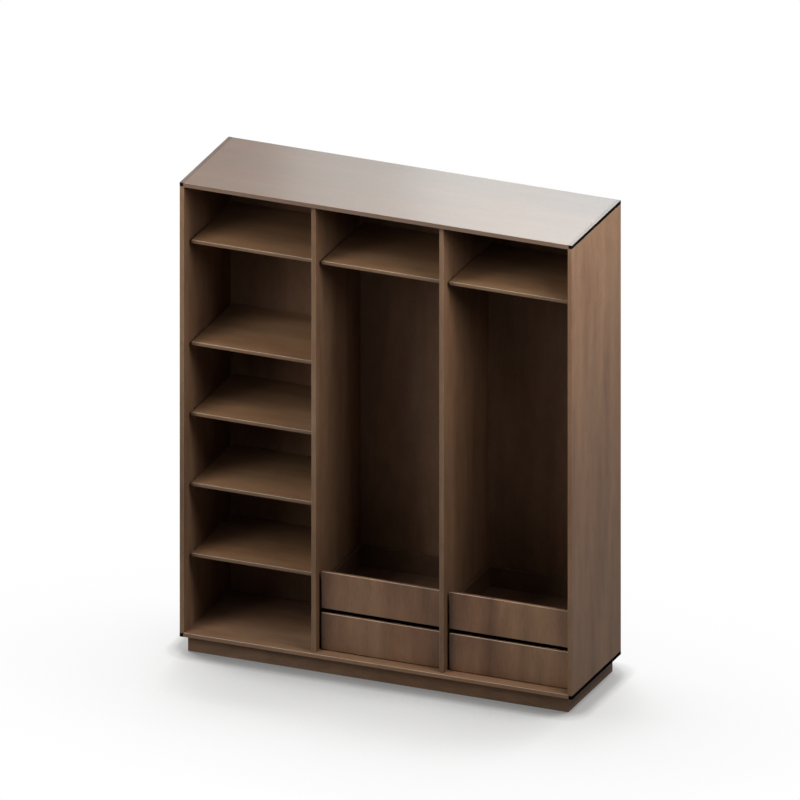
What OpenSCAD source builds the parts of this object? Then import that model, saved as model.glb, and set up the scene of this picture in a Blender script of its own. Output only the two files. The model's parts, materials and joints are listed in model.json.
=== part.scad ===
// Open-front wardrobe on a recessed plinth, with shelves, two hanging bays and four drawers.
// The origin is on the floor under the middle of the wardrobe. +Z is up and the front faces -Y.

/* [Carcass] */
// Width across the two sides
body_w = 2000; // [1800:10:2300]
// Depth from the front edges to the rear edges
body_d = 600; // [580:10:700]
// Height of the carcass above the plinth
carcass_h = 2320; // [2250:10:2500]
// Thickness of the sides, dividers, top and bottom
panel_t = 22; // [20:1:28]
// Clear width of the middle bay
middle_bay_w = 630; // [500:10:750]
// Setback of the dividers behind the front edges
divider_setback = 20; // [5:1:45]

/* [Corner profiles] */
// Board left between each square profile and the inside of the corner
profile_lap = 4; // [2:0.5:8]
// Thickness of the two splines on a profile
spline_t = 3; // [2:0.5:5]
// Depth of a spline in the board
spline_depth = 14; // [8:1:18]
// Plain length at each end of a profile, with no splines
spline_stop = 20; // [10:1:60]

/* [Back panels] */
// Thickness of the back panels
back_t = 8; // [5:0.5:12]
// Distance from the rear edges to the back panels
back_inset = 20; // [10:1:30]
// Depth of the grooves that hold the back panels
back_groove = 8; // [5:0.5:9]

/* [Shelves] */
// Thickness of the shelves
shelf_t = 19; // [16:1:25]
// Setback of the shelves behind the front edges
shelf_setback = 60; // [40:5:120]
// Gap between a shelf's end and the wall of its bay
shelf_end_gap = 13; // [6:1:20]
// Gap behind a shelf
shelf_rear_gap = 2; // [1:1:10]
// Height of the middle of the lowest shelf above the underside of the carcass
low_shelf_h = 400; // [300:5:450]
// Distance between the middles of the four lower shelves
shelf_pitch = 360; // [280:5:420]
// Distance from the top face to the middle of the hat shelves
hat_shelf_drop = 320; // [240:10:450]

/* [Shelf pins] */
// Diameter of the pins
pin_d = 8; // [6:0.5:9]
// Depth of a pin in the wall
pin_seat = 9; // [6:0.5:9.5]
// Length of a pin inside the shelf
pin_reach = 20; // [12:1:40]
// Distance from a shelf's front or rear edge to its pins
pin_inset = 70; // [40:5:150]

/* [Plinth] */
// Height of the plinth
plinth_h = 80; // [60:5:150]
// Setback of the plinth behind the carcass on every side
plinth_setback = 30; // [15:1:60]
// Thickness of the plinth boards
plinth_t = 19; // [16:1:25]

/* [Hanging rails] */
// Height of the oval rail's section
rail_h = 30; // [25:1:40]
// Width of the oval rail's section
rail_w = 15; // [12:1:20]
// Wall of the rail
rail_wall = 1.5; // [1:0.1:2]
// Distance from the underside of the hat shelf to the middle of the rail
rail_drop = 50; // [45:5:120]
// Distance from the front edges to the middle of the rail
rail_setback = 310; // [250:10:340]
// Thickness of a rail socket's plate
socket_plate = 3; // [2:0.5:5]
// Depth of a rail socket's collar
socket_collar = 12; // [8:1:20]
// Wall of a rail socket's collar
socket_wall = 2; // [1.5:0.5:4]
// Distance of a socket's two screws from its middle
socket_screw_r = 25; // [24:1:30]

/* [Drawers] */
// Thickness of the drawer fronts
front_t = 19; // [16:1:25]
// Height of a drawer front
front_h = 188; // [160:1:200]
// Setback of the drawer fronts behind the front edges
front_setback = 60; // [40:1:80]
// Gap between the lowest drawer fronts and the bottom
front_floor_gap = 3; // [2:1:12]
// Height from one drawer front's lower edge to the next one's
drawer_pitch = 210; // [205:1:260]
// Gap between a drawer and each wall of its bay, which holds a runner
drawer_side_gap = 13; // [12.5:0.1:16]
// Thickness of the box sides, inner front and back
box_t = 15; // [14:1:18]
// Height of the drawer box
box_h = 120; // [90:1:130]
// Height of the box above the front's lower edge
box_lift = 20; // [10:1:30]
// Length of the drawer box behind its front
box_l = 460; // [455:5:480]
// Thickness of the box bottom
box_floor_t = 6; // [4:0.5:8]
// Depth of the groove round the box bottom
box_groove = 7; // [5:0.5:9]
// Height of the box bottom above the box's lower edge
box_floor_lift = 12; // [10:1:18]

/* [Runners] */
// Length of the runner members
runner_l = 450; // [400:5:455]
// Height of the cabinet member
runner_h = 45; // [38:1:50]
// Thickness of the members' sheet
runner_sheet = 1.4; // [1:0.1:1.6]
// Clearance between one member and the next
runner_play = 0.5; // [0.4:0.1:0.8]
// Distance from the back of the drawer front to the runners
runner_setback = 3; // [1:1:5]
// Number of screws in each cabinet member and each drawer member
runner_screws = 3; // [2:1:4]

/* [Wall angles] */
// Width and leg length of a wall angle
angle_leg = 40; // [30:1:60]
// Thickness of a wall angle's sheet
angle_t = 2.5; // [2:0.5:4]
// Diameter of the hole for the wall screw
wall_hole_d = 7; // [5:0.5:9]

/* [Fixings] */
// Diameter of the dowels
dowel_d = 8; // [6:1:10]
// Depth of a dowel in the face of a board
dowel_seat = 11; // [8:1:14]
// Depth of a dowel in the end of a board
dowel_end = 24; // [15:1:30]
// Diameter of the cam discs
cam_d = 15; // [13:1:18]
// Depth of the cam discs
cam_depth = 15; // [14:1:16]
// Distance from a divider's end to the middle of its cams
cam_inset = 34; // [24:1:40]
// Diameter of the cam bolts
cam_bolt_d = 6; // [5:0.5:7]
// Clearance all round a cam bolt in its cam
cam_bolt_play = 0.5; // [0.3:0.1:1]
// Length of the cross slot in a cam's face
cam_cross_l = 10; // [6:1:12]
// Width and depth of the cross slot in a cam's face
cam_cross_w = 1; // [0.6:0.1:2]
// Number of dowels and cams, by turns, along each end of a divider
divider_fixings = 5; // [3:2:7]
// Number of dowels along each long plinth board
plinth_dowels = 4; // [2:1:6]
// Diameter of the carcass screws
screw_d = 4; // [3:0.5:5]
// Diameter of the carcass screws' heads
screw_head_d = 7; // [6:0.5:8]
// Depth of the carcass screws in the board
screw_seat = 9; // [6:0.5:9.5]
// Length of the cross in the carcass screws' heads
recess_l = 3.2; // [2:0.2:3.6]
// Width of the cross's slots
recess_w = 0.8; // [0.6:0.1:1.2]
// Depth of the cross
recess_depth = 1.2; // [0.8:0.1:1.6]
// Clearance all round a dowel, pin or screw in its hole
hole_play = 0.1; // [0.05:0.05:0.2]
// Clearance all round a board or spline in its groove
groove_play = 0.2; // [0.1:0.05:0.4]

/* [Hidden] */
$fn = 32;
// How far a cut runs past the face that it opens
overrun = 1;
y_front = -body_d / 2;
y_rear = body_d / 2;
z_low = plinth_h;
z_high = plinth_h + carcass_h;
inner_low = z_low + panel_t;
inner_high = z_high - panel_t;
half_w = body_w / 2;
side_in = half_w - panel_t;
div_in = middle_bay_w / 2;
div_out = div_in + panel_t;
div_mid = div_in + panel_t / 2;
div_front = y_front + divider_setback;
// The two walls of the left, middle and right bays
BAYS = [[-side_in, -div_out], [-div_in, div_in], [div_out, side_in]];
profile_s = panel_t - profile_lap;
spline_l = body_d - 2 * spline_stop;
back_front = y_rear - back_inset - back_t;
shelf_front = y_front + shelf_setback;
shelf_rear = back_front - shelf_rear_gap;
PIN_YS = [shelf_front + pin_inset, shelf_rear - pin_inset];
LOW_SHELVES = [for (i = [0:3]) z_low + low_shelf_h + i * shelf_pitch];
hat_z = z_high - hat_shelf_drop;
// Heights of the shelves in each bay
SHELVES = [concat(LOW_SHELVES, [hat_z]), [hat_z], [hat_z]];
plinth_x = half_w - plinth_setback;
plinth_y = body_d / 2 - plinth_setback;
PLINTH_DOWEL_XS = middles(plinth_dowels, -plinth_x, plinth_x);
rail_z = hat_z - shelf_t / 2 - rail_drop;
rail_y = y_front + rail_setback;
drawer_front_y = y_front + front_setback;
box_front_y = drawer_front_y + front_t;
box_rear_y = box_front_y + box_l;
runner_front_y = box_front_y + runner_setback;
RUNNER_SCREW_YS = middles(runner_screws, runner_front_y, runner_front_y + runner_l);
middle_web_x = runner_sheet + runner_play;
drawer_lip_x = middle_web_x + runner_sheet + runner_play;
middle_h = runner_h - 2 * (runner_sheet + runner_play);
drawer_member_h = middle_h - 2 * (runner_sheet + runner_play);
box_floor_low = box_lift + box_floor_lift;
DIVIDER_FIXING_YS = middles(divider_fixings, div_front, y_rear);
DOWEL_YS = [for (i = [0:2:divider_fixings - 1]) DIVIDER_FIXING_YS[i]];
CAM_YS = [for (i = [1:2:divider_fixings - 2]) DIVIDER_FIXING_YS[i]];
ANGLE_BAYS = [0, 2];
// Name, bay and level of each drawer
DRAWERS = [
    ["drawer_middle_low", 1, 0],
    ["drawer_middle_high", 1, 1],
    ["drawer_right_low", 2, 0],
    ["drawer_right_high", 2, 1]
];
DRAWER_PIECES = [
    "front", "box_sides", "box_ends", "box_bottom", "runner_members", "screws", "runner_middles"
];

walnut = "#6f4f38";
walnut_dark = "#4d3728";
black = "#0b0b0b";
steel = "#8f8f8c";
dark_steel = "#2b2a29";

// The middles of n equal parts of the length from a to b
function middles(n, a, b) = [for (i = [0:n - 1]) a + (i + 0.5) * (b - a) / n];

// A box between two corners
module block(low, high) {
    translate(low) cube(high - low);
}

// A round bar along X from x0 to x1
module rod_x(d, x0, x1) {
    translate([x0, 0, 0]) rotate([0, 90, 0]) cylinder(d = d, h = x1 - x0);
}

// A round bar along Y from y0 to y1
module rod_y(d, y0, y1) {
    translate([0, y1, 0]) rotate([90, 0, 0]) cylinder(d = d, h = y1 - y0);
}

// A round bar along Z from z0 to z1
module rod_z(d, z0, z1) {
    translate([0, 0, z0]) cylinder(d = d, h = z1 - z0);
}

// A blind hole along -X from a face at x = 0, for a round piece of that diameter
module hole_x(d, depth) {
    rod_x(d + 2 * hole_play, -depth - hole_play, overrun);
}

// A blind hole along -Z from a face at z = 0, for a round piece of that diameter
module hole_z(d, depth) {
    rod_z(d + 2 * hole_play, -depth - hole_play, overrun);
}

// A countersunk screw along -X, with its head flush at x = head_x and its shank below x = 0
module screw_x(head_x, head_d, shank_d, depth, play) {
    rotate([0, 90, 0]) cylinder(d1 = shank_d + 2 * play, d2 = head_d + 2 * play, h = head_x);
    rod_x(shank_d + 2 * play, -depth - play, 0);
}

// The same screw as it is made, without play and with a cross in its head for the driver
module driven_screw_x(head_x, depth) {
    l = recess_l / 2;
    w = recess_w / 2;
    difference() {
        screw_x(head_x, screw_head_d, screw_d, depth, 0);
        block([head_x - recess_depth, -l, -w], [head_x + overrun, l, w]);
        block([head_x - recess_depth, -w, -l], [head_x + overrun, w, l]);
    }
}

// Places its children on a wall of a bay, with +X pointing into the bay
module on_wall(bay, wall) {
    translate([BAYS[bay][wall], 0, 0]) mirror([wall, 0, 0]) children();
}

module at_pins(bay) {
    for (z = SHELVES[bay], y = PIN_YS) translate([0, y, z]) children();
}

module at_runners(bay) {
    if (bay > 0) for (level = [0, 1]) translate([0, 0, runner_z(level)]) children();
}

module at_runner_screws() {
    for (y = RUNNER_SCREW_YS) translate([0, y, 0]) children();
}

module at_rail_screws(bay) {
    if (bay > 0) for (side = [-1, 1]) translate([0, rail_y, rail_z + side * socket_screw_r]) children();
}

// Lower edge of the drawer fronts on a level, and the places that follow from it
function front_z(level) = inner_low + front_floor_gap + level * drawer_pitch;
function runner_z(level) = front_z(level) + box_lift + box_h / 2;
function bay_mid(bay) = (BAYS[bay][0] + BAYS[bay][1]) / 2;
function drawer_x0(bay) = BAYS[bay][0] + drawer_side_gap;
function drawer_x1(bay) = BAYS[bay][1] - drawer_side_gap;

// All holes in one wall of a bay
module wall_holes(bay, wall) {
    on_wall(bay, wall) {
        at_pins(bay) hole_x(pin_d, pin_seat);
        at_runners(bay) at_runner_screws() hole_x(screw_d, screw_seat);
        at_rail_screws(bay) hole_x(screw_d, screw_seat);
    }
}

// The groove in one wall of a bay for its back panel, open at both ends of the wall
module back_groove_in_wall(bay, wall) {
    on_wall(bay, wall) block(
        [-back_groove, back_front - groove_play, z_low],
        [overrun, back_front + back_t + groove_play, z_high]
    );
}

// The long groove for the back panels in the top or the bottom
module back_groove_across(z0, z1) {
    block(
        [-side_in - back_groove, back_front - groove_play, z0],
        [side_in + back_groove, back_front + back_t + groove_play, z1]
    );
}

module side_panel(bay, wall) {
    x_out = side_in + panel_t;
    color(walnut) difference() {
        mirror([1 - wall, 0, 0]) difference() {
            block([side_in, y_front, z_low + profile_s], [x_out, y_rear, z_high - profile_s]);
            for (end = [0, 1]) at_corner(end) spline_slot_down();
        }
        wall_holes(bay, wall);
        back_groove_in_wall(bay, wall);
    }
}

// Places its children at a right-hand corner: 1 is the top corner, 0 the bottom one.
// The local origin is the outer edge, +X points inwards and +Z away from the other panel.
module at_corner(end) {
    translate([half_w, 0, end == 1 ? z_high : z_low])
        mirror([1, 0, 0])
        mirror([0, 0, 1 - end])
        children();
}

// The slot in the end of a side for a profile's spline
module spline_slot_down() {
    w = spline_t / 2 + groove_play;
    block(
        [panel_t / 2 - w, -spline_l / 2 - groove_play, -profile_s - spline_depth - groove_play],
        [panel_t / 2 + w, spline_l / 2 + groove_play, -profile_s + overrun]
    );
}

// The slot in the end of the top or the bottom for a profile's spline
module spline_slot_across() {
    w = spline_t / 2 + groove_play;
    block(
        [profile_s - overrun, -spline_l / 2 - groove_play, -panel_t / 2 - w],
        [profile_s + spline_depth + groove_play, spline_l / 2 + groove_play, -panel_t / 2 + w]
    );
}

// A square bar with two splines, which joins a side to the top or the bottom
module corner_profile(end, mirrored) {
    w = spline_t / 2;
    color(black) mirror([mirrored, 0, 0]) at_corner(end) {
        block([0, y_front, -profile_s], [profile_s, y_rear, 0]);
        block(
            [panel_t / 2 - w, -spline_l / 2, -profile_s - spline_depth],
            [panel_t / 2 + w, spline_l / 2, -profile_s]
        );
        block(
            [profile_s, -spline_l / 2, -panel_t / 2 - w],
            [profile_s + spline_depth, spline_l / 2, -panel_t / 2 + w]
        );
    }
}

// The top, or the bottom turned over: a board that laps the inner edge of both sides
module end_board() {
    difference() {
        block([-half_w + profile_s, y_front, -panel_t], [half_w - profile_s, y_rear, 0]);
        for (m = [0, 1]) mirror([m, 0, 0]) {
            block([side_in, y_front - overrun, -panel_t - overrun], [half_w, y_rear + overrun, -profile_s]);
            translate([half_w, 0, 0]) mirror([1, 0, 0]) spline_slot_across();
            translate([div_mid, 0, -panel_t]) mirror([0, 0, 1]) {
                for (y = DOWEL_YS) translate([0, y, 0]) hole_z(dowel_d, dowel_seat);
                for (y = CAM_YS) translate([0, y, 0]) hole_z(cam_bolt_d, dowel_seat);
            }
        }
        back_groove_across(-panel_t - overrun, -panel_t + back_groove);
    }
}

module top_panel() {
    color(walnut) difference() {
        translate([0, 0, z_high]) end_board();
        at_wall_angles() at_angle_screws() mirror([0, 0, 1]) hole_z(screw_d, screw_seat);
    }
}

module bottom_panel() {
    color(walnut) difference() {
        translate([0, 0, z_low]) mirror([0, 0, 1]) end_board();
        at_plinth_dowels() mirror([0, 0, 1]) hole_z(dowel_d, dowel_seat);
    }
}

// An upright board between the middle bay and an outer one
module divider(side) {
    outer_bay = side < 0 ? 0 : 2;
    color(walnut) difference() {
        block(
            [min(side * div_in, side * div_out), div_front, inner_low],
            [max(side * div_in, side * div_out), y_rear, inner_high]
        );
        wall_holes(outer_bay, side < 0 ? 1 : 0);
        wall_holes(1, side < 0 ? 0 : 1);
        back_groove_in_wall(outer_bay, side < 0 ? 1 : 0);
        back_groove_in_wall(1, side < 0 ? 0 : 1);
        at_divider_ends(side) {
            for (y = DOWEL_YS) translate([0, y, 0]) hole_z(dowel_d, dowel_end);
            for (y = CAM_YS) translate([0, y, 0]) {
                hole_z(cam_bolt_d, cam_inset);
                translate([-panel_t / 2, 0, -cam_inset]) mirror([1, 0, 0]) hole_x(cam_d, cam_depth);
            }
        }
    }
}

// Places its children at both ends of a divider, with +Z pointing out of the end
module at_divider_ends(side) {
    translate([side * div_mid, 0, inner_high]) children();
    translate([side * div_mid, 0, inner_low]) mirror([0, 0, 1]) children();
}

// A back panel, whose outer corners are notched round the corner profiles
module back_panel(bay) {
    tongue = back_groove - groove_play;
    notch = profile_s + groove_play;
    color(walnut_dark) difference() {
        block(
            [BAYS[bay][0] - tongue, back_front, inner_low - tongue],
            [BAYS[bay][1] + tongue, back_front + back_t, inner_high + tongue]
        );
        for (m = [0, 1], end = [0, 1]) mirror([m, 0, 0]) at_corner(end) {
            block([0, back_front - overrun, -notch], [notch, y_rear, 0]);
        }
        at_wall_angles() translate([0, 0, -angle_leg / 2]) rod_y(wall_hole_d, -overrun, back_t + overrun);
    }
}

// A shelf with a groove in each end, which slides on to its pins from the front
module shelf(bay, z) {
    groove_h = pin_d + 2 * hole_play;
    groove_end = shelf_end_gap + pin_reach + groove_play;
    color(walnut) difference() {
        block(
            [BAYS[bay][0] + shelf_end_gap, shelf_front, z - shelf_t / 2],
            [BAYS[bay][1] - shelf_end_gap, shelf_rear, z + shelf_t / 2]
        );
        for (wall = [0, 1]) on_wall(bay, wall) {
            block(
                [shelf_end_gap - overrun, PIN_YS[0], z - groove_h / 2],
                [groove_end, shelf_rear + overrun, z + groove_h / 2]
            );
            translate([0, PIN_YS[0], z]) rod_x(groove_h, shelf_end_gap - overrun, groove_end);
        }
    }
}

module shelf_pins() {
    color(dark_steel) for (bay = [0:2], wall = [0, 1]) on_wall(bay, wall) {
        at_pins(bay) rod_x(pin_d, -pin_seat, shelf_end_gap + pin_reach);
    }
}

// A plinth board across the front, or across the rear
module plinth_board(side) {
    y_out = side * plinth_y;
    y_in = side * (plinth_y - plinth_t);
    color(walnut_dark) difference() {
        block([-plinth_x, min(y_out, y_in), 0], [plinth_x, max(y_out, y_in), plinth_h]);
        at_plinth_dowels() hole_z(dowel_d, dowel_end);
    }
}

// The two end boards of the plinth and the two that stand under the dividers
module plinth_rails() {
    y_in = plinth_y - plinth_t;
    color(walnut_dark) for (side = [-1, 1]) {
        for (x = [plinth_x - plinth_t / 2, div_mid]) {
            block([side * x - plinth_t / 2, -y_in, 0], [side * x + plinth_t / 2, y_in, plinth_h]);
        }
    }
}

module at_plinth_dowels() {
    for (side = [-1, 1], x = PLINTH_DOWEL_XS) {
        translate([x, side * (plinth_y - plinth_t / 2), plinth_h]) children();
    }
}

// An oval section of the rail, or of anything round it, grown by extra on every side
module rail_section(extra) {
    r = rail_w / 2 + extra;
    half = rail_h / 2 - rail_w / 2;
    square([2 * half, 2 * r], center = true);
    for (side = [-1, 1]) translate([side * half, 0]) circle(r);
}

module rail_bar(extra, x0, x1) {
    translate([x0, rail_y, rail_z]) rotate([0, 90, 0]) linear_extrude(x1 - x0) rail_section(extra);
}

module hanging_rail(bay) {
    x0 = BAYS[bay][0] + socket_plate;
    x1 = BAYS[bay][1] - socket_plate;
    color(steel) difference() {
        rail_bar(0, x0, x1);
        rail_bar(-rail_wall, x0 - overrun, x1 + overrun);
    }
}

module rail_sockets() {
    color(dark_steel) for (bay = [1, 2], wall = [0, 1]) on_wall(bay, wall) difference() {
        union() {
            rail_bar(groove_play + socket_wall, 0, socket_plate + socket_collar);
            block(
                [0, rail_y - rail_w / 2, rail_z - socket_screw_r],
                [socket_plate, rail_y + rail_w / 2, rail_z + socket_screw_r]
            );
            at_rail_screws(bay) rod_x(rail_w, 0, socket_plate);
        }
        rail_bar(groove_play, socket_plate, socket_plate + socket_collar + overrun);
        at_rail_screws(bay) screw_x(socket_plate, screw_head_d, screw_d, overrun, hole_play);
    }
}

// A channel of sheet along Y, open towards +X
module channel(x0, x1, h) {
    y1 = runner_front_y + runner_l;
    difference() {
        block([x0, runner_front_y, -h / 2], [x1, y1, h / 2]);
        block(
            [x0 + runner_sheet, runner_front_y - overrun, -h / 2 + runner_sheet],
            [x1 + overrun, y1 + overrun, h / 2 - runner_sheet]
        );
    }
}

module runner_cabinet_members() {
    color(dark_steel) for (bay = [1, 2], wall = [0, 1]) on_wall(bay, wall) at_runners(bay) difference() {
        channel(0, drawer_side_gap - 2 * (runner_sheet + runner_play), runner_h);
        at_runner_screws() screw_x(runner_sheet, screw_head_d, screw_d, overrun, hole_play);
    }
}

module runner_middles(bay, level) {
    color(dark_steel) for (wall = [0, 1]) on_wall(bay, wall) translate([0, 0, runner_z(level)]) {
        channel(middle_web_x, drawer_side_gap - runner_sheet - runner_play, middle_h);
    }
}

module runner_drawer_members(bay, level) {
    color(dark_steel) on_box_sides(bay, level) difference() {
        channel(0, drawer_side_gap - drawer_lip_x, drawer_member_h);
        at_runner_screws() screw_x(runner_sheet, screw_head_d, screw_d, overrun, hole_play);
    }
}

// Places its children on the outer faces of a drawer box, with +X pointing out of the box
module on_box_sides(bay, level) {
    for (wall = [0, 1]) on_wall(bay, wall) {
        translate([drawer_side_gap, 0, runner_z(level)]) mirror([1, 0, 0]) children();
    }
}

module carcass_screws() {
    color(steel) {
        for (bay = [1, 2], wall = [0, 1]) on_wall(bay, wall) {
            at_runners(bay) at_runner_screws() {
                driven_screw_x(runner_sheet, screw_seat);
            }
            at_rail_screws(bay) driven_screw_x(socket_plate, screw_seat);
        }
        at_wall_angles() at_angle_screws() rotate([0, 90, 0]) {
            driven_screw_x(angle_t, screw_seat);
        }
    }
}

// Places its children in the corner under the top and in front of the back, in both outer bays
module at_wall_angles() {
    for (bay = ANGLE_BAYS) translate([bay_mid(bay), back_front, inner_high]) children();
}

// Places its children at the quarters of a wall angle's width
module at_angle_screws() {
    for (side = [-1, 1]) translate([side * angle_leg / 4, -angle_leg / 2, 0]) children();
}

module wall_angles() {
    color(dark_steel) at_wall_angles() difference() {
        union() {
            block([-angle_leg / 2, -angle_leg, -angle_t], [angle_leg / 2, 0, 0]);
            block([-angle_leg / 2, -angle_t, -angle_leg], [angle_leg / 2, 0, 0]);
        }
        translate([0, 0, -angle_leg / 2]) rod_y(wall_hole_d, -angle_t - overrun, overrun);
        at_angle_screws() rotate([0, 90, 0]) screw_x(angle_t, screw_head_d, screw_d, overrun, hole_play);
    }
}

module cam_fittings() {
    l = cam_cross_l / 2;
    w = cam_cross_w / 2;
    color(steel) for (side = [-1, 1]) at_divider_ends(side) for (y = CAM_YS) translate([0, y, 0]) {
        rod_z(cam_bolt_d, -cam_inset + cam_bolt_d / 2, dowel_seat);
        translate([-panel_t / 2, 0, -cam_inset]) difference() {
            rod_x(cam_d, 0, cam_depth);
            translate([panel_t / 2, 0, 0]) rod_z(cam_bolt_d + 2 * cam_bolt_play, 0, cam_d);
            block([-overrun, -l, -w], [cam_cross_w, l, w]);
            block([-overrun, -w, -l], [cam_cross_w, w, l]);
        }
    }
}

module dowels() {
    color("#b08d5f") {
        for (side = [-1, 1]) at_divider_ends(side) for (y = DOWEL_YS) {
            translate([0, y, 0]) rod_z(dowel_d, -dowel_end, dowel_seat);
        }
        at_plinth_dowels() rod_z(dowel_d, -dowel_end, dowel_seat);
    }
}

module drawer_front(bay, level) {
    color(walnut) difference() {
        block(
            [drawer_x0(bay), drawer_front_y, front_z(level)],
            [drawer_x1(bay), box_front_y, front_z(level) + front_h]
        );
        at_front_screws(bay, level) rotate([0, 0, 90]) hole_x(screw_d, screw_seat);
    }
}

// Places its children where the box is screwed to its front, on the front's rear face:
// a sixth of the width from either end and a quarter of the box's height from its middle
module at_front_screws(bay, level) {
    z_mid = runner_z(level) + box_floor_lift / 2;
    x_step = (drawer_x1(bay) - drawer_x0(bay)) / 3;
    for (sx = [-1, 1], sz = [-1, 1]) {
        translate([bay_mid(bay) + sx * x_step, box_front_y, z_mid + sz * box_h / 4]) children();
    }
}

// The panel that the four sides of a box hold, grown by extra on every side
module box_floor(bay, level, extra) {
    z0 = front_z(level) + box_floor_low;
    inset = box_t - box_groove + groove_play - extra;
    block(
        [drawer_x0(bay) + inset, box_front_y + inset, z0 - extra],
        [drawer_x1(bay) - inset, box_rear_y - inset, z0 + box_floor_t + extra]
    );
}

module box_sides(bay, level) {
    z0 = front_z(level) + box_lift;
    color(walnut_dark) difference() {
        for (wall = [0, 1]) on_wall(bay, wall) block(
            [drawer_side_gap, box_front_y, z0],
            [drawer_side_gap + box_t, box_rear_y, z0 + box_h]
        );
        box_floor(bay, level, groove_play);
        on_box_sides(bay, level) {
            at_runner_screws() hole_x(screw_d, screw_seat);
            at_box_corner_screws() screw_x_flush(screw_seat + box_t, hole_play);
        }
    }
}

// A countersunk screw along -X whose head lies flush with x = 0
module screw_x_flush(depth, play) {
    head_h = (screw_head_d - screw_d) / 2;
    translate([-head_h, 0, 0]) screw_x(head_h, screw_head_d, screw_d, depth - head_h, play);
}

// The same screw as it is made, with the cross in its head
module driven_screw_x_flush(depth) {
    head_h = (screw_head_d - screw_d) / 2;
    translate([-head_h, 0, 0]) driven_screw_x(head_h, depth - head_h);
}

// Places its children on the ends of the inner front and the back of a box,
// at a quarter of the box's height above and below its middle
module at_box_corner_screws() {
    for (y = [box_front_y + box_t / 2, box_rear_y - box_t / 2], sz = [-1, 1]) {
        translate([0, y, sz * box_h / 4]) children();
    }
}

module box_ends(bay, level) {
    z0 = front_z(level) + box_lift;
    color(walnut_dark) difference() {
        for (y = [box_front_y, box_rear_y - box_t]) block(
            [drawer_x0(bay) + box_t, y, z0],
            [drawer_x1(bay) - box_t, y + box_t, z0 + box_h]
        );
        box_floor(bay, level, groove_play);
        on_box_sides(bay, level) at_box_corner_screws() screw_x_flush(screw_seat + box_t, hole_play);
        at_front_screws(bay, level) screw_y(hole_play);
    }
}

// A screw along -Y through the inner front, with its head flush with the inside of the box
module screw_y(play) {
    translate([0, box_t, 0]) rotate([0, 0, 90]) screw_x_flush(screw_seat + box_t, play);
}

module box_bottom(bay, level) {
    color(walnut_dark) box_floor(bay, level, 0);
}

module drawer_screws(bay, level) {
    color(steel) {
        on_box_sides(bay, level) {
            at_runner_screws() driven_screw_x(runner_sheet, screw_seat);
            at_box_corner_screws() driven_screw_x_flush(screw_seat + box_t);
        }
        at_front_screws(bay, level) translate([0, box_t, 0]) rotate([0, 0, 90]) {
            driven_screw_x_flush(screw_seat + box_t);
        }
    }
}

side_panel(0, 0);  // side_left
side_panel(2, 1);  // side_right
top_panel();
bottom_panel();
divider(-1);  // divider_left
divider(1);  // divider_right
back_panel(0);  // back_left
back_panel(1);  // back_middle
back_panel(2);  // back_right
corner_profile(1, 1);  // corner_profile_top_left
corner_profile(1, 0);  // corner_profile_top_right
corner_profile(0, 1);  // corner_profile_bottom_left
corner_profile(0, 0);  // corner_profile_bottom_right
shelf(0, LOW_SHELVES[0]);  // shelf_1
shelf(0, LOW_SHELVES[1]);  // shelf_2
shelf(0, LOW_SHELVES[2]);  // shelf_3
shelf(0, LOW_SHELVES[3]);  // shelf_4
shelf(0, hat_z);  // hat_shelf_left
shelf(1, hat_z);  // hat_shelf_middle
shelf(2, hat_z);  // hat_shelf_right
shelf_pins();
plinth_board(-1);  // plinth_front
plinth_board(1);  // plinth_rear
plinth_rails();
hanging_rail(1);  // hanging_rail_middle
hanging_rail(2);  // hanging_rail_right
rail_sockets();
runner_cabinet_members();
carcass_screws();
cam_fittings();
dowels();
wall_angles();
for (d = DRAWERS) {
    drawer_front(d[1], d[2]);
    box_sides(d[1], d[2]);
    box_ends(d[1], d[2]);
    box_bottom(d[1], d[2]);
    runner_drawer_members(d[1], d[2]);
    drawer_screws(d[1], d[2]);
    runner_middles(d[1], d[2]);
}
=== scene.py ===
import json
import math

import bmesh
import bpy
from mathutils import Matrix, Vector


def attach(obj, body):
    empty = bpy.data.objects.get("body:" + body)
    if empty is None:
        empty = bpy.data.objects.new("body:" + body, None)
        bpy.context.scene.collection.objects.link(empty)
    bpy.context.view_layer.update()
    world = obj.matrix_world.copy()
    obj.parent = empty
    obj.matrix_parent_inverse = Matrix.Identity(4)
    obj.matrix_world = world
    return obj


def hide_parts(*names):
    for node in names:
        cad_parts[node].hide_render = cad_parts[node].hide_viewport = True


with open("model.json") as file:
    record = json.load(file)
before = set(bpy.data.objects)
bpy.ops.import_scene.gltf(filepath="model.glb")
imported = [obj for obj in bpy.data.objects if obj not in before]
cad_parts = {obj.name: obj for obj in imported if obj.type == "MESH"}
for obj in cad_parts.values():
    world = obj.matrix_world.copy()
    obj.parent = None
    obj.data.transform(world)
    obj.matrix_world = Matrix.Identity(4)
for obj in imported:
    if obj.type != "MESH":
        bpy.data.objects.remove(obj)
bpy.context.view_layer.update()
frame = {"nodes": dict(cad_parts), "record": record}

# The camera. The photograph is a parallel view from 22.6 degrees to the right of the front and
# 22.9 degrees above the horizontal, so the camera is orthographic and stands in that direction.
azimuth = math.radians(22.61)
elevation = math.radians(22.90)
aim = Vector((-0.0014, 0.0, 1.333))
view_width = 3.7645
camera_distance = 12.0
towards_camera = Vector((
    math.sin(azimuth) * math.cos(elevation),
    -math.cos(azimuth) * math.cos(elevation),
    math.sin(elevation),
))
camera_data = bpy.data.cameras.new("camera")
camera_data.type = "ORTHO"
camera_data.ortho_scale = view_width
camera_data.clip_end = 100.0
camera = bpy.data.objects.new("camera", camera_data)
camera.location = aim + camera_distance * towards_camera
camera.rotation_euler = (-towards_camera).to_track_quat("-Z", "Y").to_euler()
bpy.context.scene.collection.objects.link(camera)
bpy.context.scene.camera = camera
bpy.context.scene.view_settings.view_transform = "Standard"


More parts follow.
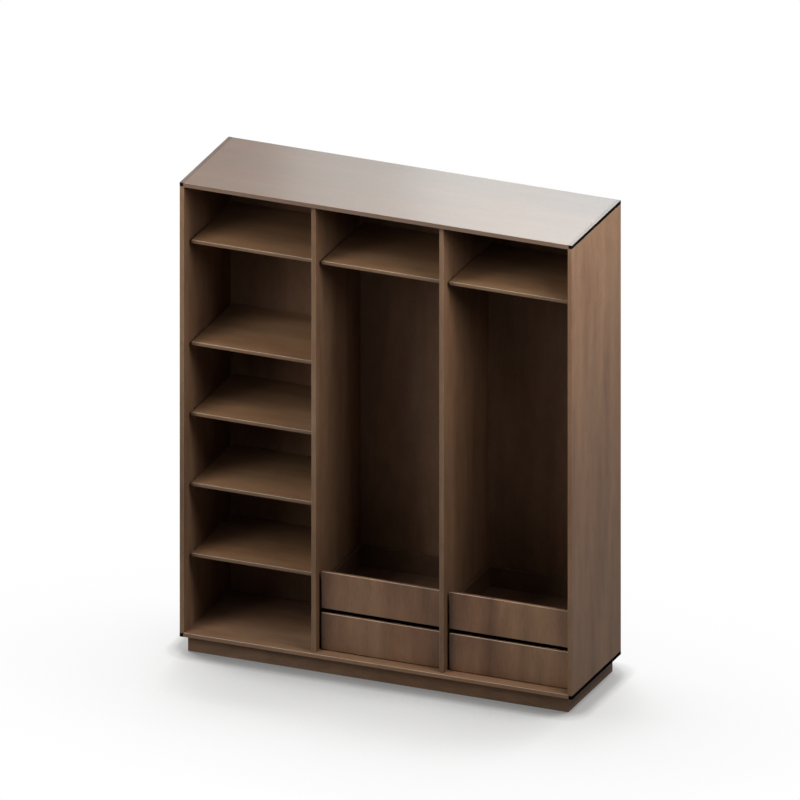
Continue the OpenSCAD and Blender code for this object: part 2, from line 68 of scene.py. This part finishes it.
# The studio floor. It is a plain sheet that shows as white and keeps three soft shadows of the
# wardrobe: a wide one, one that lies almost only in front, and a narrow one all round its foot.
# For the light that it throws back on the wardrobe it is an ordinary grey floor.
def tone(red, green, blue):
    """A colour written as it looks on a screen, from 0 to 255, as the shader's own numbers."""
    shares = [value / 255 for value in (red, green, blue)]
    return tuple(s / 12.92 if s <= 0.04045 else ((s + 0.055) / 1.055) ** 2.4 for s in shares) + (1.0,)


def add_node(tree, kind, inputs=(), **settings):
    """A shader node with its settings, whose inputs are values or the sockets that feed them."""
    node = tree.nodes.new(kind)
    for name, value in settings.items():
        setattr(node, name, value)
    for key, value in dict(inputs).items():
        if isinstance(value, bpy.types.NodeSocket):
            tree.links.new(value, node.inputs[key])
        else:
            node.inputs[key].default_value = value
    return node


def new_material(name):
    """A new material with nothing in it, and its tree of shader nodes."""
    material = bpy.data.materials.new(name)
    material.use_nodes = True
    material.node_tree.nodes.clear()
    return material, material.node_tree


def seen_share(tree):
    """One for what the camera sees, also in what is glossy or clear, and none for other light."""
    light_path = add_node(tree, "ShaderNodeLightPath")
    seen = light_path.outputs["Is Camera Ray"]
    for kind in ("Is Glossy Ray", "Is Transmission Ray"):
        seen = add_node(tree, "ShaderNodeMath", {0: seen, 1: light_path.outputs[kind]},
                        operation="MAXIMUM").outputs[0]
    return seen


def floor_tone(level):
    """The floor's white, or a shadow on it, which is a trace warmer than grey."""
    return tone(level, level, level) if level > 245 else tone(level, level - 0.3, level - 1)


floor_size = 40.0
floor_grey = (0.27, 0.27, 0.27, 1.0)
openness_samples = 24
wide_reach = 1.5
wide_lean = (-0.3, 0.8, 1.0)
wide_shades = [(0.35, 202), (0.42, 242), (0.60, 243), (0.70, 244), (0.80, 247), (0.90, 251), (1.0, 255)]
front_reach = 1.15
front_lean = (-0.8, 2.4, 1.0)
front_shades = [(0.35, 198), (0.42, 210), (0.50, 226), (0.60, 231), (0.70, 240), (0.80, 254), (0.90, 255)]
near_reach = 0.12
near_lean = (0.0, 0.0, 1.0)
near_shades = [(0.65, 200), (0.75, 208), (0.85, 235), (0.92, 238), (1.0, 255)]

bpy.ops.object.select_all(action="DESELECT")
bpy.ops.mesh.primitive_plane_add(size=floor_size, location=(0, 0, 0))
floor = bpy.context.object
floor.name = "floor"
floor_material, tree = new_material("studio_floor")
soft_shadows = []
for reach, lean, shades in ((wide_reach, wide_lean, wide_shades), (front_reach, front_lean, front_shades),
                            (near_reach, near_lean, near_shades)):
    leaning = add_node(tree, "ShaderNodeCombineXYZ", {"X": lean[0], "Y": lean[1], "Z": lean[2]})
    openness = add_node(tree, "ShaderNodeAmbientOcclusion", {"Distance": reach,
                        "Normal": leaning.outputs["Vector"]}, samples=openness_samples)
    shade = add_node(tree, "ShaderNodeValToRGB", {"Fac": openness.outputs["AO"]})
    shade.color_ramp.elements.remove(shade.color_ramp.elements[1])
    shade.color_ramp.elements[0].position = shades[0][0]
    shade.color_ramp.elements[0].color = floor_tone(shades[0][1])
    for place, level in shades[1:]:
        stop = shade.color_ramp.elements.new(place)
        stop.color = floor_tone(level)
    soft_shadows.append(shade.outputs["Color"])
shaded = soft_shadows[0]
for shadow in soft_shadows[1:]:
    shaded = add_node(tree, "ShaderNodeMix", {0: 1.0, 6: shaded, 7: shadow}, data_type="RGBA",
                      blend_type="MULTIPLY").outputs[2]
shown = add_node(tree, "ShaderNodeEmission", {"Color": shaded})
thrown_back = add_node(tree, "ShaderNodeBsdfDiffuse", {"Color": floor_grey})
mixed = add_node(tree, "ShaderNodeMixShader", {0: seen_share(tree), 1: thrown_back.outputs[0],
                 2: shown.outputs[0]})
add_node(tree, "ShaderNodeOutputMaterial", {"Surface": mixed.outputs[0]})
floor.data.materials.append(floor_material)

# The room behind the floor. It shows as plain white, also in what is glossy, and leaves the
# lighting of the wardrobe to the lamps.
world = bpy.data.worlds.new("room")
bpy.context.scene.world = world
world.use_nodes = True
tree = world.node_tree
tree.nodes.clear()
background = add_node(tree, "ShaderNodeBackground", {"Color": (1.0, 1.0, 1.0, 1.0),
                      "Strength": seen_share(tree)})
add_node(tree, "ShaderNodeOutputWorld", {"Surface": background.outputs[0]})


# The studio lamps, all soft boxes. Those on the left face the open front, those on the right light
# the right side and shine across into the bays. Of those behind, the rear boxes are there for the top
# to reflect, and the back box, which stands lower than the top, lights the back.
def soft_box(name, place, width, height, level, aim=(0.0, 0.0, 1.3), color=(1.0, 1.0, 1.0),
             mirrored=False):
    """A soft box. On a white card that faces it at its aim, it gives that level of light.

    It shows in what is glossy only where it is asked to, because a lamp that shows in the top
    burns it out in the views from behind.
    """
    lamp = bpy.data.lights.new(name, "AREA")
    lamp.shape = "RECTANGLE"
    lamp.size = width
    lamp.size_y = height
    lamp.color = color
    away = Vector(place) - Vector(aim)
    lamp.energy = level * math.pi ** 2 * away.length_squared
    box = bpy.data.objects.new(name, lamp)
    box.location = place
    box.rotation_euler = away.to_track_quat("Z", "Y").to_euler()
    box.visible_camera = False
    box.visible_glossy = mirrored
    bpy.context.scene.collection.objects.link(box)


soft_box("front_box", (-2.78, -3.32, 3.80), 1.8, 1.8, 0.31)
soft_box("front_box_high", (-2.07, -2.46, 5.13), 1.8, 1.8, 0.46, mirrored=True)
soft_box("front_box_low", (-3.17, -3.77, 2.17), 1.8, 1.8, 0.136)
soft_box("front_box_middle", (-1.06, -3.96, 4.17), 1.8, 1.8, 0.094)
soft_box("right_box", (2.80, -0.50, 4.20), 1.2, 1.2, 0.71)
soft_box("right_box_front", (2.40, -1.20, 3.60), 1.2, 1.2, 0.51)
rear_color = (0.66, 0.89, 1.0)
rear_color_left = (0.80, 0.93, 0.96)
soft_box("rear_box", (-0.20, 3.20, 3.90), 0.7, 1.8, 0.112, aim=(-0.2, 0.0, 3.9), color=rear_color,
         mirrored=True)
soft_box("rear_box_left", (-0.90, 3.20, 3.90), 0.7, 1.8, 0.108, aim=(-0.9, 0.0, 3.9),
         color=rear_color_left, mirrored=True)
soft_box("rear_box_far_left", (-1.56, 3.20, 3.90), 0.7, 1.8, 0.055, aim=(-1.56, 0.0, 3.9),
         color=rear_color_left, mirrored=True)
soft_box("back_box", (-1.40, 4.20, 1.30), 1.8, 1.8, 0.70, aim=(0.0, 0.3, 1.2))

# Walnut veneer. It is one effect for every board: broad bands from the way that the veneer is
# sliced, finer growth lines, the fibres, and open pores. The grain runs along the local Z.
grain = bpy.data.node_groups.new("walnut_grain", "ShaderNodeTree")
for name, kind, value in (
    ("Vector", "NodeSocketVector", None),
    ("Light", "NodeSocketColor", tone(122, 95, 73)),
    ("Dark", "NodeSocketColor", tone(92, 66, 47)),
    ("Bands", "NodeSocketFloat", 1.0),
    ("Mottle", "NodeSocketFloat", 0.5),
    ("Lines", "NodeSocketFloat", 0.3),
    ("Roughness", "NodeSocketFloat", 0.55),
):
    socket = grain.interface.new_socket(name, in_out="INPUT", socket_type=kind)
    if value is not None:
        socket.default_value = value
grain.interface.new_socket("Color", in_out="OUTPUT", socket_type="NodeSocketColor")
grain.interface.new_socket("Roughness", in_out="OUTPUT", socket_type="NodeSocketFloat")
grain.interface.new_socket("Height", in_out="OUTPUT", socket_type="NodeSocketFloat")
given = add_node(grain, "NodeGroupInput")


def stretched_noise(vector, stretch, scale, detail):
    """Noise drawn out along Z: stretch is how many times shorter it is across the grain."""
    squeezed = add_node(grain, "ShaderNodeVectorMath", {0: vector, 1: (1.0, 1.0, 1.0 / stretch)},
                        operation="MULTIPLY")
    noise = add_node(grain, "ShaderNodeTexNoise", {"Vector": squeezed.outputs[0], "Scale": scale,
                     "Detail": detail, "Roughness": 0.55})
    return noise.outputs["Fac"]


def centred(value, weight):
    """The value less one half, times its weight."""
    less = add_node(grain, "ShaderNodeMath", {0: value, 1: 0.5}, operation="SUBTRACT")
    return add_node(grain, "ShaderNodeMath", {0: less.outputs[0], 1: weight},
                    operation="MULTIPLY").outputs[0]


sideways_drift = (0.10, 0.10, 0.0)
drift = add_node(grain, "ShaderNodeTexNoise", {"Vector": given.outputs["Vector"], "Scale": 0.9,
                 "Detail": 1.0})
drift = add_node(grain, "ShaderNodeVectorMath", {0: drift.outputs["Color"], 1: sideways_drift},
                 operation="MULTIPLY")
flowing = add_node(grain, "ShaderNodeVectorMath", {0: given.outputs["Vector"], 1: drift.outputs[0]},
                   operation="ADD").outputs[0]
bands = stretched_noise(flowing, 9.0, 10.0, 1.5)
mottle = stretched_noise(flowing, 2.5, 22.0, 2.0)
lines = stretched_noise(flowing, 24.0, 60.0, 3.0)
fibres = stretched_noise(flowing, 60.0, 420.0, 2.0)
pores = stretched_noise(flowing, 26.0, 900.0, 1.0)
total = add_node(grain, "ShaderNodeMath", {0: centred(bands, given.outputs["Bands"]),
                 1: centred(mottle, given.outputs["Mottle"])}, operation="ADD")
total = add_node(grain, "ShaderNodeMath", {0: total.outputs[0],
                 1: centred(lines, given.outputs["Lines"])}, operation="ADD")
total = add_node(grain, "ShaderNodeMath", {0: total.outputs[0], 1: centred(fibres, 0.25)},
                 operation="ADD")
share = add_node(grain, "ShaderNodeMath", {0: total.outputs[0], 1: 0.5}, operation="ADD", use_clamp=True)
wood = add_node(grain, "ShaderNodeMix", {0: share.outputs[0], 6: given.outputs["Dark"],
                7: given.outputs["Light"]}, data_type="RGBA")
tint_drift = stretched_noise(flowing, 5.0, 7.0, 1.0)
warm_tint = (1.08, 0.98, 0.90, 1.0)
cool_tint = (0.92, 1.02, 1.10, 1.0)
tint = add_node(grain, "ShaderNodeMix", {0: tint_drift, 6: warm_tint, 7: cool_tint}, data_type="RGBA")
tinted = add_node(grain, "ShaderNodeMix", {0: 1.0, 6: wood.outputs[2], 7: tint.outputs[2]},
                  data_type="RGBA", blend_type="MULTIPLY")
pore_tint = (0.66, 0.62, 0.58, 1.0)
open_pore = add_node(grain, "ShaderNodeMapRange", {"Value": pores, "From Min": 0.60, "From Max": 0.72})
pored = add_node(grain, "ShaderNodeMix", {0: open_pore.outputs["Result"], 6: tinted.outputs[2],
                 7: pore_tint}, data_type="RGBA", blend_type="MULTIPLY")
rough = add_node(grain, "ShaderNodeMath", {0: given.outputs["Roughness"], 1: centred(fibres, 0.12)},
                 operation="ADD")
depth = add_node(grain, "ShaderNodeMath", {0: fibres, 1: open_pore.outputs["Result"]},
                 operation="SUBTRACT")
add_node(grain, "NodeGroupOutput", {"Color": pored.outputs[2], "Roughness": rough.outputs[0],
         "Height": depth.outputs[0]})


# Edges of a board. Its faces that look to the front take a tint: painted light where the tint is above
# one, and painted shade where it is below one. Where a face is neither level nor upright, it is part of a
# rounded
# arris: there a light greyish painted highlight lies on the wood, a little unevenly, and where the arris
# looks down it has painted shade instead.
# The colour of the painted highlight on rounded arrises, and of the painted shade on arrises that look
# down.
arris_highlight_tone = tone(176, 158, 142)
arris_shade_tone = tone(50, 36, 27)
edges = bpy.data.node_groups.new("board_edges", "ShaderNodeTree")
for name, kind in (("Vector", "NodeSocketVector"), ("Normal", "NodeSocketVector"),
                   ("Color", "NodeSocketColor"), ("Front edge light and shade", "NodeSocketColor"),
                   ("Arris highlight", "NodeSocketFloat")):
    edges.interface.new_socket(name, in_out="INPUT", socket_type=kind)
edges.interface.new_socket("Color", in_out="OUTPUT", socket_type="NodeSocketColor")
given = add_node(edges, "NodeGroupInput")
direction = add_node(edges, "ShaderNodeSeparateXYZ", {0: given.outputs["Normal"]})
# Faces that look to the front take the front-edge tint, which is painted light or painted shade by its
# numbers.
frontal = add_node(edges, "ShaderNodeMapRange", {"Value": direction.outputs["Y"], "From Min": -0.75,
                   "From Max": -0.98})
front_edge_lit_and_shaded = add_node(edges, "ShaderNodeMix", {0: frontal.outputs["Result"], 6: given.outputs["Color"],
                  7: given.outputs["Front edge light and shade"]}, data_type="RGBA", blend_type="MULTIPLY")
slopes = add_node(edges, "ShaderNodeVectorMath", {0: given.outputs["Normal"]}, operation="ABSOLUTE")
slopes = add_node(edges, "ShaderNodeSeparateXYZ", {0: slopes.outputs[0]})
squarest = add_node(edges, "ShaderNodeMath", {0: slopes.outputs[0], 1: slopes.outputs[1]},
                    operation="MAXIMUM")
squarest = add_node(edges, "ShaderNodeMath", {0: squarest.outputs[0], 1: slopes.outputs[2]},
                    operation="MAXIMUM")
rounded = add_node(edges, "ShaderNodeMapRange", {"Value": squarest.outputs[0], "From Min": 0.995,
                   "From Max": 0.90})
patches = add_node(edges, "ShaderNodeTexNoise", {"Vector": given.outputs["Vector"], "Scale": 14.0,
                   "Detail": 3.0})
patches = add_node(edges, "ShaderNodeMapRange", {"Value": patches.outputs["Fac"], "From Min": 0.25,
                   "From Max": 0.65, "To Min": 0.45})
amount = add_node(edges, "ShaderNodeMath", {0: rounded.outputs["Result"], 1: patches.outputs["Result"]},
                  operation="MULTIPLY")
amount = add_node(edges, "ShaderNodeMath", {0: amount.outputs[0], 1: given.outputs["Arris highlight"]},
                  operation="MULTIPLY")
# Arris faces that look down take the painted shade colour in place of the painted highlight.
downward = add_node(edges, "ShaderNodeMapRange", {"Value": direction.outputs["Z"], "From Min": -0.05,
                    "From Max": -0.20})
arris_tone = add_node(edges, "ShaderNodeMix", {0: downward.outputs["Result"], 6: arris_highlight_tone,
                      7: arris_shade_tone}, data_type="RGBA")
arris_colour = add_node(edges, "ShaderNodeMix", {0: amount.outputs[0], 6: front_edge_lit_and_shaded.outputs[2],
                        7: arris_tone.outputs[2]}, data_type="RGBA")
add_node(edges, "NodeGroupOutput", {"Color": arris_colour.outputs[2]})


lacquer_roughness = 0.25


def veneer(name, turn=(0.0, 0.0, 0.0), light=(124, 96, 73), dark=(86, 62, 46), bands=1.2, mottle=0.5,
           lines=0.3, roughness=0.50, specular=0.08, coat=0.0, arris_highlight=0.3, width=1.0,
           front_edge_light_and_shade=(1.0, 1.0, 1.0), cut_from=(0.0, 0.0, 0.0)):
    """Lacquered walnut veneer whose grain runs along Z, or along another way after a turn in degrees.

    The width widens its figure. A front-edge tint above one lightens the faces that look to the front, as
    painted light, and one below one darkens them, as painted shade; the arris highlight is the strength
    of the painted highlight on rounded arrises. A board that is cut from another place of the log has
    another figure.
    """
    material, tree = new_material(name)
    place = add_node(tree, "ShaderNodeTexCoord")
    turned = add_node(tree, "ShaderNodeMapping", {"Vector": place.outputs["Object"],
                      "Location": cut_from, "Rotation": [math.radians(angle) for angle in turn],
                      "Scale": [1 / width] * 3})
    figure = add_node(tree, "ShaderNodeGroup", node_tree=grain)
    tree.links.new(turned.outputs["Vector"], figure.inputs["Vector"])
    figure.inputs["Light"].default_value = tone(*light)
    figure.inputs["Dark"].default_value = tone(*dark)
    figure.inputs["Bands"].default_value = bands
    figure.inputs["Mottle"].default_value = mottle
    figure.inputs["Lines"].default_value = lines
    figure.inputs["Roughness"].default_value = roughness
    relief = add_node(tree, "ShaderNodeBump", {"Height": figure.outputs["Height"], "Strength": 0.12,
                      "Distance": 0.0002})
    facing = add_node(tree, "ShaderNodeNewGeometry")
    edged = add_node(tree, "ShaderNodeGroup", node_tree=edges)
    tree.links.new(place.outputs["Object"], edged.inputs["Vector"])
    tree.links.new(facing.outputs["True Normal"], edged.inputs["Normal"])
    tree.links.new(figure.outputs["Color"], edged.inputs["Color"])
    # The front-edge tint and the arris strength carry painted light, painted shade and a painted
    # highlight.
    edged.inputs["Front edge light and shade"].default_value = front_edge_light_and_shade + (1.0,)
    edged.inputs["Arris highlight"].default_value = arris_highlight
    surface = add_node(tree, "ShaderNodeBsdfPrincipled", {"Base Color": edged.outputs["Color"],
                       "Roughness": figure.outputs["Roughness"], "Normal": relief.outputs["Normal"],
                       "Specular IOR Level": specular, "Coat Weight": coat,
                       "Coat Roughness": lacquer_roughness})
    add_node(tree, "ShaderNodeOutputMaterial", {"Surface": surface.outputs[0]})
    return material


# The carcass boards: two sides, a top, a bottom and two dividers. They are 22 mm board with walnut
# veneer and a satin lacquer, and are held by splines, dowels and cams. Their arrises are sanded.
body_of = {}
for body, members in frame["record"]["behaviour"]["bodies"].items():
    for member in members:
        body_of[member] = body


def outer_arrises(mesh, least):
    """The edges of each board in the mesh that lie along its outer box and are that long."""
    arrises = []
    waiting = set(mesh.verts)
    while waiting:
        reached = [waiting.pop()]
        board = set(reached)
        while reached:
            corner = reached.pop()
            for edge in corner.link_edges:
                other = edge.other_vert(corner)
                if other in waiting:
                    waiting.remove(other)
                    board.add(other)
                    reached.append(other)
        low = [min(corner.co[axis] for corner in board) for axis in range(3)]
        high = [max(corner.co[axis] for corner in board) for axis in range(3)]
        for edge in {edge for corner in board for edge in corner.link_edges}:
            middle = (edge.verts[0].co + edge.verts[1].co) / 2
            faces_met = sum(min(middle[axis] - low[axis], high[axis] - middle[axis]) < 1e-5
                            for axis in range(3))
            if faces_met == 2 and edge.is_convex and edge.calc_length() > least:
                arrises.append(edge)
    return arrises


def finished_copy(node, name, finish, arris=0.0):
    """A copy of a CAD node, merged, with its long arrises rounded when an arris is given, that shows in
    the node's place.
    """
    bpy.ops.object.select_all(action="DESELECT")
    piece = bpy.data.objects.new(name, frame["nodes"][node].data.copy())
    bpy.context.scene.collection.objects.link(piece)
    piece.select_set(True)
    bpy.context.view_layer.objects.active = piece
    bpy.ops.object.mode_set(mode="EDIT")
    bpy.ops.mesh.select_all(action="SELECT")
    bpy.ops.mesh.remove_doubles(threshold=1e-6)
    bpy.ops.mesh.dissolve_limited(angle_limit=math.radians(0.1))
    if arris:
        bpy.ops.mesh.select_all(action="DESELECT")
        bpy.ops.mesh.select_mode(type="EDGE")
        mesh = bmesh.from_edit_mesh(piece.data)
        for edge in outer_arrises(mesh, 6 * arris):
            edge.select_set(True)
        bmesh.update_edit_mesh(piece.data)
        bpy.ops.mesh.bevel(offset=arris, segments=3, affect="EDGES", clamp_overlap=True, loop_slide=False)
    bpy.ops.object.mode_set(mode="OBJECT")
    bpy.ops.object.shade_smooth_by_angle(angle=math.radians(35))
    bpy.ops.object.modifier_add(type="WEIGHTED_NORMAL")
    piece.modifiers[-1].keep_sharp = True
    bpy.ops.object.modifier_apply(modifier=piece.modifiers[-1].name)
    piece.data.materials.clear()
    piece.data.materials.append(finish)
    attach(piece, body_of[node])
    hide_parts(node)
    return piece


carcass_arris = 0.0015
along_x = (0.0, 90.0, 0.0)
# The uprights' faces that look to the front are painted lighter, as painted light, and the right side's
# most; the top's front edge is painted darker, as painted shade. Every board's rounded arrises carry a
# painted highlight, the bottom's strongest.
upright_veneer = veneer("walnut_grain_upright", front_edge_light_and_shade=(1.04, 1.14, 1.20))
right_veneer = veneer("walnut_grain_right_side_painted_light", front_edge_light_and_shade=(1.30, 1.36, 1.42))
level_veneer = veneer("walnut_grain_level", along_x, light=(129, 101, 78), dark=(93, 68, 50), bands=0.9,
                      specular=0.25, roughness=0.38, arris_highlight=0.75)
top_veneer = veneer("walnut_polished_top", along_x, bands=0.4, mottle=0.2, lines=0.06, coat=1.0,
                    front_edge_light_and_shade=(0.72, 0.72, 0.74))
for node in ("side_left", "divider_left", "divider_right"):
    finished_copy(node, node + "_board", upright_veneer, carcass_arris)
finished_copy("side_right", "side_right_board", right_veneer, carcass_arris)
finished_copy("bottom_panel", "bottom_board", level_veneer, 2 * carcass_arris)
finished_copy("top_panel", "top_board", top_veneer, carcass_arris)

# The corner strips: four square aluminium bars, anodised black, whose splines hold the sides to the
# top and the bottom. The die leaves faint lines along them. The top's veneer runs on over the
# upper two, so that these show black only from the side and from the ends.
strip_arris = 0.0006
anodised_dark = tone(8, 8, 8)
anodised_light = tone(16, 16, 16)
cap_light = tone(116, 90, 68)
cap_dark = tone(80, 58, 43)
between_strips = 1.0
strip_finish, tree = new_material("black_anodised_strip")
place = add_node(tree, "ShaderNodeTexCoord")
drawn = add_node(tree, "ShaderNodeMapping", {"Vector": place.outputs["Object"],
                 "Scale": (900.0, 4.0, 900.0)})
die_lines = add_node(tree, "ShaderNodeTexNoise", {"Vector": drawn.outputs["Vector"], "Scale": 1.0,
                     "Detail": 2.0})
black = add_node(tree, "ShaderNodeMix", {0: die_lines.outputs["Fac"], 6: anodised_dark,
                 7: anodised_light}, data_type="RGBA")
turned = add_node(tree, "ShaderNodeMapping", {"Vector": place.outputs["Object"],
                  "Rotation": [math.radians(angle) for angle in along_x]})
figure = add_node(tree, "ShaderNodeGroup", {"Vector": turned.outputs["Vector"], "Light": cap_light,
                  "Dark": cap_dark}, node_tree=grain)
facing = add_node(tree, "ShaderNodeNewGeometry")
upward = add_node(tree, "ShaderNodeSeparateXYZ", {0: facing.outputs["Normal"]})
height = add_node(tree, "ShaderNodeSeparateXYZ", {0: place.outputs["Object"]})
above = add_node(tree, "ShaderNodeMath", {0: height.outputs["Z"], 1: between_strips},
                 operation="GREATER_THAN")
capped = add_node(tree, "ShaderNodeMapRange", {"Value": upward.outputs["Z"], "From Min": 0.7,
                  "From Max": 0.95})
capped = add_node(tree, "ShaderNodeMath", {0: capped.outputs["Result"], 1: above.outputs[0]},
                  operation="MULTIPLY")
shade = add_node(tree, "ShaderNodeMix", {0: capped.outputs[0], 6: black.outputs[2],
                 7: figure.outputs["Color"]}, data_type="RGBA")
relief = add_node(tree, "ShaderNodeBump", {"Height": die_lines.outputs["Fac"], "Strength": 0.05,
                  "Distance": 0.0001})
surface = add_node(tree, "ShaderNodeBsdfPrincipled", {"Base Color": shade.outputs[2],
                   "Roughness": 0.5, "Specular IOR Level": 0.0, "Normal": relief.outputs["Normal"],
                   "Coat Weight": capped.outputs[0], "Coat Roughness": lacquer_roughness})
add_node(tree, "ShaderNodeOutputMaterial", {"Surface": surface.outputs[0]})
for corner in ("top_left", "top_right", "bottom_left", "bottom_right"):
    finished_copy("corner_profile_" + corner, "corner_strip_" + corner, strip_finish,
                  strip_arris)

# The back panels: one thin board behind each bay, held in grooves all round, with a matt walnut
# veneer whose grain runs upright. The outer two are notched round the corner strips.
back_veneer = veneer("walnut_grain_back", light=(122, 95, 75), dark=(86, 62, 47), bands=0.8, lines=0.15,
                     roughness=0.65)
for bay in ("left", "middle", "right"):
    finished_copy("back_" + bay, "back_board_" + bay, back_veneer)

# The shelves: four in the left bay and a hat shelf in each bay, 19 mm board on hidden pins. The
# veneer's grain runs along them, and their arrises are rounded.
shelf_arris = 0.0035
# The shelves' faces that look to the front are painted darker, as painted shade, and their rounded
# arrises carry a painted highlight.
shelf_veneer = veneer("walnut_grain_shelves", along_x, light=(128, 99, 73), dark=(92, 66, 46), bands=0.9,
                      specular=0.25, roughness=0.38, arris_highlight=0.60, front_edge_light_and_shade=(0.70, 0.73, 0.76))
for node in ("shelf_1", "shelf_2", "shelf_3", "shelf_4", "hat_shelf_left", "hat_shelf_middle",
             "hat_shelf_right"):
    finished_copy(node, node + "_board", shelf_veneer, shelf_arris)

# The plinth: boards under the carcass, set back from its edges on every side, with a more mottled
# veneer that runs along them. The ends and rails stand glued between the front board and the rear
# one, which are doweled to the bottom.
plinth_veneer = veneer("walnut_grain_plinth", along_x, light=(124, 98, 77), dark=(92, 70, 55), bands=0.6,
                       mottle=0.9)
for node in ("plinth_front", "plinth_rear", "plinth_rails"):
    finished_copy(node, node + "_board", plinth_veneer, carcass_arris)

# The drawer fronts: four plain boards with no handles, with the most figured veneer of the piece.
# Each is screwed to its box from inside, and its arrises are rounded.
# The rounded arrises of the fronts carry a strong painted highlight.
front_veneer = veneer("walnut_grain_fronts", light=(131, 99, 73), dark=(83, 58, 42), bands=2.5,
                      mottle=0.6, lines=0.12, specular=0.25, roughness=0.38, arris_highlight=0.85, width=1.5,
                      cut_from=(5.6, 1.43, 0.0))
drawers = ("drawer_middle_low", "drawer_middle_high", "drawer_right_low", "drawer_right_high")
for drawer in drawers:
    finished_copy(drawer + "_front", drawer + "_front_board", front_veneer, shelf_arris)

# The drawer boxes: two sides, an inner front, a back and a bottom each, of thinner walnut board,
# glued and screwed at the corners, with their arrises rounded a little. Their veneer is painted darker
# than the rest, as painted shade inside the drawers, with a faint painted highlight on the arrises.
box_arris = 0.001
box_veneer = veneer("walnut_grain_boxes", turn=(90.0, 0.0, 0.0), light=(84, 63, 48), dark=(60, 43, 32),
                    bands=0.7, roughness=0.6, arris_highlight=0.05)
for drawer in drawers:
    for part in ("sides", "ends", "bottom"):
        finished_copy(drawer + "_box_" + part, drawer + "_box_" + part + "_board",
                      box_veneer, box_arris)


# The hanging rails: oval steel tubes, plated dark bronze and polished all round, one under the hat
# shelf of each hanging bay.
rough_spread = 0.08


def plated(name, dark, light, roughness, metallic=1.0, speck=600.0, stretch=(1.0, 1.0, 1.0)):
    """A plated or coated metal: two close colours, and a roughness and relief that vary finely."""
    material, tree = new_material(name)
    place = add_node(tree, "ShaderNodeTexCoord")
    drawn = add_node(tree, "ShaderNodeMapping", {"Vector": place.outputs["Object"], "Scale": stretch})
    fine = add_node(tree, "ShaderNodeTexNoise", {"Vector": drawn.outputs["Vector"], "Scale": speck,
                    "Detail": 3.0})
    cloud = add_node(tree, "ShaderNodeTexNoise", {"Vector": drawn.outputs["Vector"], "Scale": speck / 30,
                     "Detail": 2.0})
    shade = add_node(tree, "ShaderNodeMix", {0: cloud.outputs["Fac"], 6: tone(*dark), 7: tone(*light)},
                     data_type="RGBA")
    spread = add_node(tree, "ShaderNodeMapRange", {"Value": fine.outputs["Fac"],
                      "To Min": roughness - rough_spread, "To Max": roughness + rough_spread})
    relief = add_node(tree, "ShaderNodeBump", {"Height": fine.outputs["Fac"], "Strength": 0.15,
                      "Distance": 0.0001})
    surface = add_node(tree, "ShaderNodeBsdfPrincipled", {"Base Color": shade.outputs[2],
                       "Roughness": spread.outputs["Result"], "Metallic": metallic,
                       "Normal": relief.outputs["Normal"]})
    add_node(tree, "ShaderNodeOutputMaterial", {"Surface": surface.outputs[0]})
    return material


rail_plating = plated("bronze_plating", (78, 72, 66), (98, 91, 84), 0.28, stretch=(0.05, 1.0, 1.0))
for bay in ("middle", "right"):
    finished_copy("hanging_rail_" + bay, "hanging_rail_tube_" + bay, rail_plating)

# The rail sockets and the two wall angles, which are pressed steel, and the rods that the shelves
# lie on: all with a fine black powder coat.
powder_coat = plated("black_powder_coat", (26, 25, 24), (34, 33, 31), 0.5, metallic=0.0, speck=900.0)
finished_copy("rail_sockets", "rail_socket_pressings", powder_coat)
finished_copy("wall_angles", "wall_angle_pressings", powder_coat)
finished_copy("shelf_pins", "shelf_pin_rods", powder_coat)

# The drawer runners: a cabinet member, a middle member and a drawer member each, rolled from
# steel strip and plated black.
runner_plating = plated("black_plating", (48, 48, 50), (62, 62, 64), 0.34, stretch=(1.0, 0.08, 1.0))
finished_copy("runner_cabinet_members", "runner_cabinet_sections", runner_plating)
for drawer in drawers:
    finished_copy(drawer + "_runner_members", drawer + "_runner_sections", runner_plating)
    finished_copy(drawer + "_runner_middles", drawer + "_runner_middle_sections",
                  runner_plating)

# The small steel: the cam fittings that pull the dividers to the top and the bottom, and all the
# screws. They are turned or cold formed, and zinc plated.
zinc = plated("zinc_plating", (186, 187, 188), (206, 207, 206), 0.3)
for node in ("cam_fittings", "carcass_screws") + tuple(drawer + "_screws" for drawer in drawers):
    finished_copy(node, node + "_zinc", zinc)

# The dowels: bare beech rod with its grain along it, upright. They are glued in the ends of the
# dividers and in the plinth, and reach into the top and the bottom.
beech_dark = tone(190, 152, 112)
beech_light = tone(214, 180, 138)
beech, tree = new_material("beech_rod")
place = add_node(tree, "ShaderNodeTexCoord")
fibre = add_node(tree, "ShaderNodeMapping", {"Vector": place.outputs["Object"],
                 "Scale": (1.0, 1.0, 0.05)})
fleck = add_node(tree, "ShaderNodeTexNoise", {"Vector": fibre.outputs["Vector"], "Scale": 900.0,
                 "Detail": 2.0})
shade = add_node(tree, "ShaderNodeMix", {0: fleck.outputs["Fac"], 6: beech_dark, 7: beech_light},
                 data_type="RGBA")
relief = add_node(tree, "ShaderNodeBump", {"Height": fleck.outputs["Fac"], "Strength": 0.2,
                  "Distance": 0.0001})
surface = add_node(tree, "ShaderNodeBsdfPrincipled", {"Base Color": shade.outputs[2], "Roughness": 0.7,
                   "Normal": relief.outputs["Normal"]})
add_node(tree, "ShaderNodeOutputMaterial", {"Surface": surface.outputs[0]})
finished_copy("dowels", "dowel_rods", beech)
